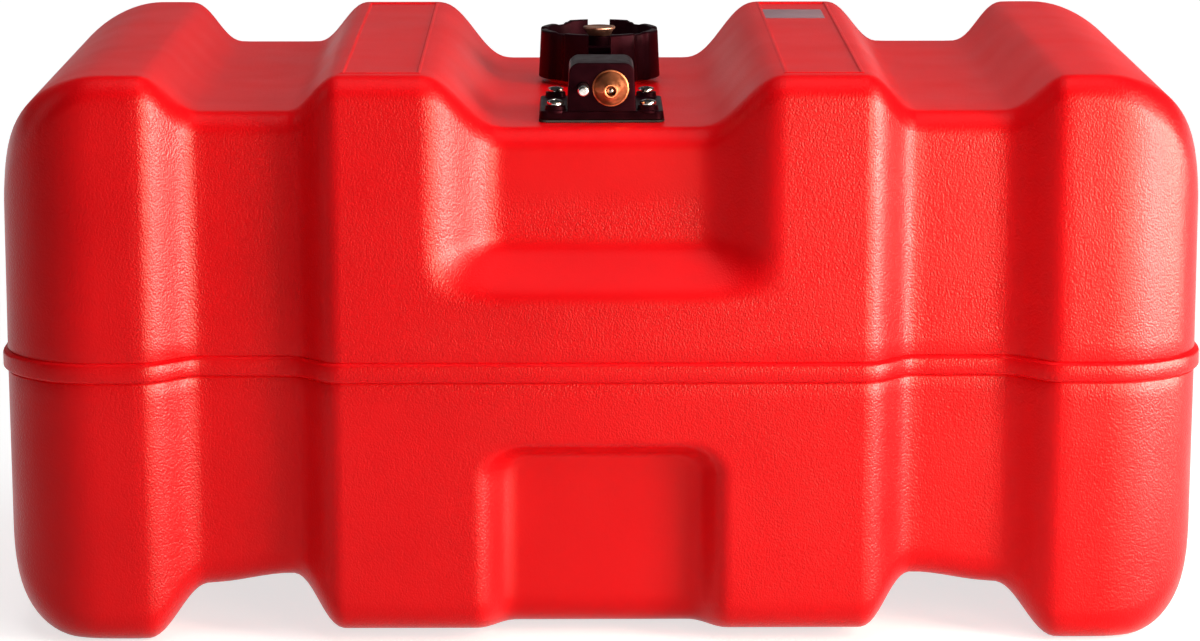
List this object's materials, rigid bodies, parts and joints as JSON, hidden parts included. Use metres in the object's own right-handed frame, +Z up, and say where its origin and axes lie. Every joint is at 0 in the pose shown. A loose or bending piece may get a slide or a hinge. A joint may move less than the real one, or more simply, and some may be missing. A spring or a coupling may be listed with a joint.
{
  "type": "portable outboard fuel tank",
  "caption": "Ribbed red moulded fuel tank with strap grooves, a brass hose connector on a black flange and a vented screw cap with a turnable air vent.",
  "frame": {"origin": "on the floor under the middle of the tank", "axes": "+X along the tank's length, front with the hand hold and the hose connector towards -Y, +Z up"},
  "size_m": [0.6456, 0.3614, 0.3077],
  "materials": {
    "tank_shell": "pebble-grained blow-moulded polyethylene",
    "black_nylon": "moulded satin black nylon",
    "seal_rubber": "moulded nitrile rubber",
    "brass": "turned brass",
    "knob_brass": "satin turned brass",
    "screw_steel": "bright stainless steel",
    "fuel_hose": "extruded fuel tube",
    "white_acetal": "moulded white acetal"
  },
  "bodies": {
    "root": {"tank_body": "tank_shell", "thread_insert_1": "brass", "thread_insert_2": "brass", "thread_insert_3": "brass", "thread_insert_4": "brass", "pickup_gasket": "seal_rubber", "pickup_head": "black_nylon", "plate_screw_1": "screw_steel", "plate_screw_2": "screw_steel", "plate_screw_3": "screw_steel", "plate_screw_4": "screw_steel", "nozzle": "brass", "nozzle_seal": "seal_rubber", "valve_spring": "screw_steel", "guide_pin": "screw_steel", "pickup_tube": "fuel_hose", "pickup_strainer": "white_acetal"},
    "gasket_ring": {"cap_gasket": "seal_rubber"},
    "splash_guard": {"splash_disc": "black_nylon"},
    "cap": {"filler_cap": "black_nylon", "vent_hub": "black_nylon"},
    "vent_ring": {"vent_seal": "seal_rubber"},
    "vent": {"vent_knob": "knob_brass", "vent_stem": "brass"},
    "ball": {"check_ball": "screw_steel"}
  },
  "joints": [
    {"name": "cap_lift", "type": "slide", "parent": "root", "child": "gasket_ring", "axis": [0, 0, 1], "range_m": [0, 0.08]},
    {"name": "cap_rise", "type": "slide", "parent": "gasket_ring", "child": "splash_guard", "axis": [0, 0, 1], "range_m": [0, 0.0061]},
    {"name": "cap_turn", "type": "hinge", "parent": "splash_guard", "child": "cap", "pos_m": [0, 0.04, 0.2873], "axis": [0, 0, 1], "range_deg": [0, 540]},
    {"name": "vent_rise", "type": "slide", "parent": "cap", "child": "vent_ring", "axis": [0, 0, 1], "range_m": [0, 0.0026]},
    {"name": "vent_turn", "type": "hinge", "parent": "vent_ring", "child": "vent", "pos_m": [0, 0.04, 0.302], "axis": [0, 0, 1], "range_deg": [0, 720]},
    {"name": "ball_push", "type": "slide", "parent": "root", "child": "ball", "axis": [0, 1, 0], "range_m": [0, 0.003], "stiffness_N_per_m": 300, "springref_m": -0.0012, "deforming": ["valve_spring"]}
  ],
  "couplings": [
    {"joint": "cap_rise", "follows": "cap_turn", "m_per_rad": 0.00063662},
    {"joint": "vent_rise", "follows": "vent_turn", "m_per_rad": 0.00019894}
  ]
}
